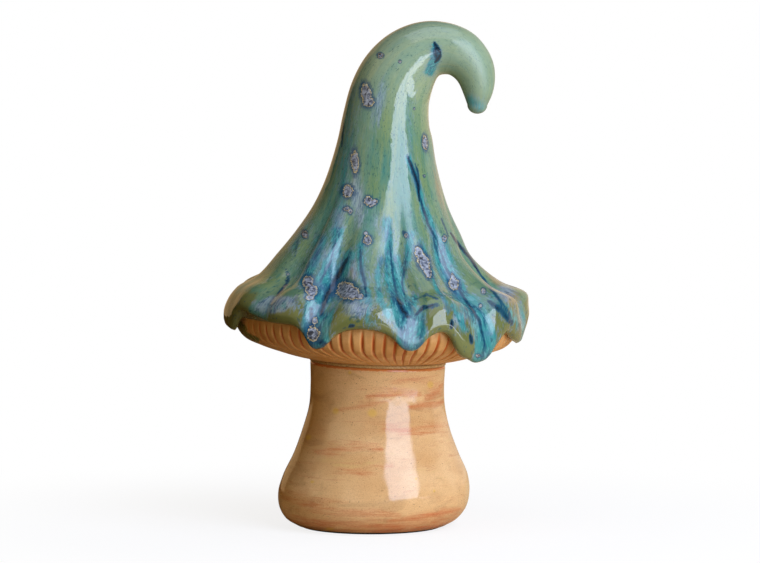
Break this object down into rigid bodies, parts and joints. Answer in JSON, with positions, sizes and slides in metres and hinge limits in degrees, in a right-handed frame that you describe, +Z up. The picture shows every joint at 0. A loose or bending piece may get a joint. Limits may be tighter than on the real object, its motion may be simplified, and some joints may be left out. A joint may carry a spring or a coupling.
{
  "type": "ceramic mushroom ornament",
  "caption": "Free-standing stoneware mushroom: a hollow flared stem and a lift-off pointed hat cap with pleated dripping rim, carved gills and a curled tip",
  "frame": {"origin": "on the table, at the centre of the felt pad under the stem's foot, which is the rest face mount", "axes": "+Z up; +X towards the side that the curled tip points to; -Y to the front that the picture shows"},
  "size_m": [0.1505, 0.1503, 0.2483],
  "materials": {
    "cap_glaze": "glossy reactive glaze, celadon to turquoise and dark blue, with crystal patches",
    "stem_glaze": "glossy speckled buff glaze with pinkish orange streaks",
    "bare_clay": "satin washed stoneware with iron-brown grooves",
    "felt": "thin matt felt"
  },
  "bodies": {
    "base": {"stem": "stem_glaze", "felt_pad": "felt"},
    "cap": {"locating_collar": "bare_clay", "gill_plate": "bare_clay", "cap_shell": "cap_glaze"}
  },
  "joints": [
    {"name": "cap_lift", "type": "slide", "parent": "base", "child": "cap", "axis": [0.0366, 0, 0.9993], "range_m": [0, 0.06]}
  ]
}
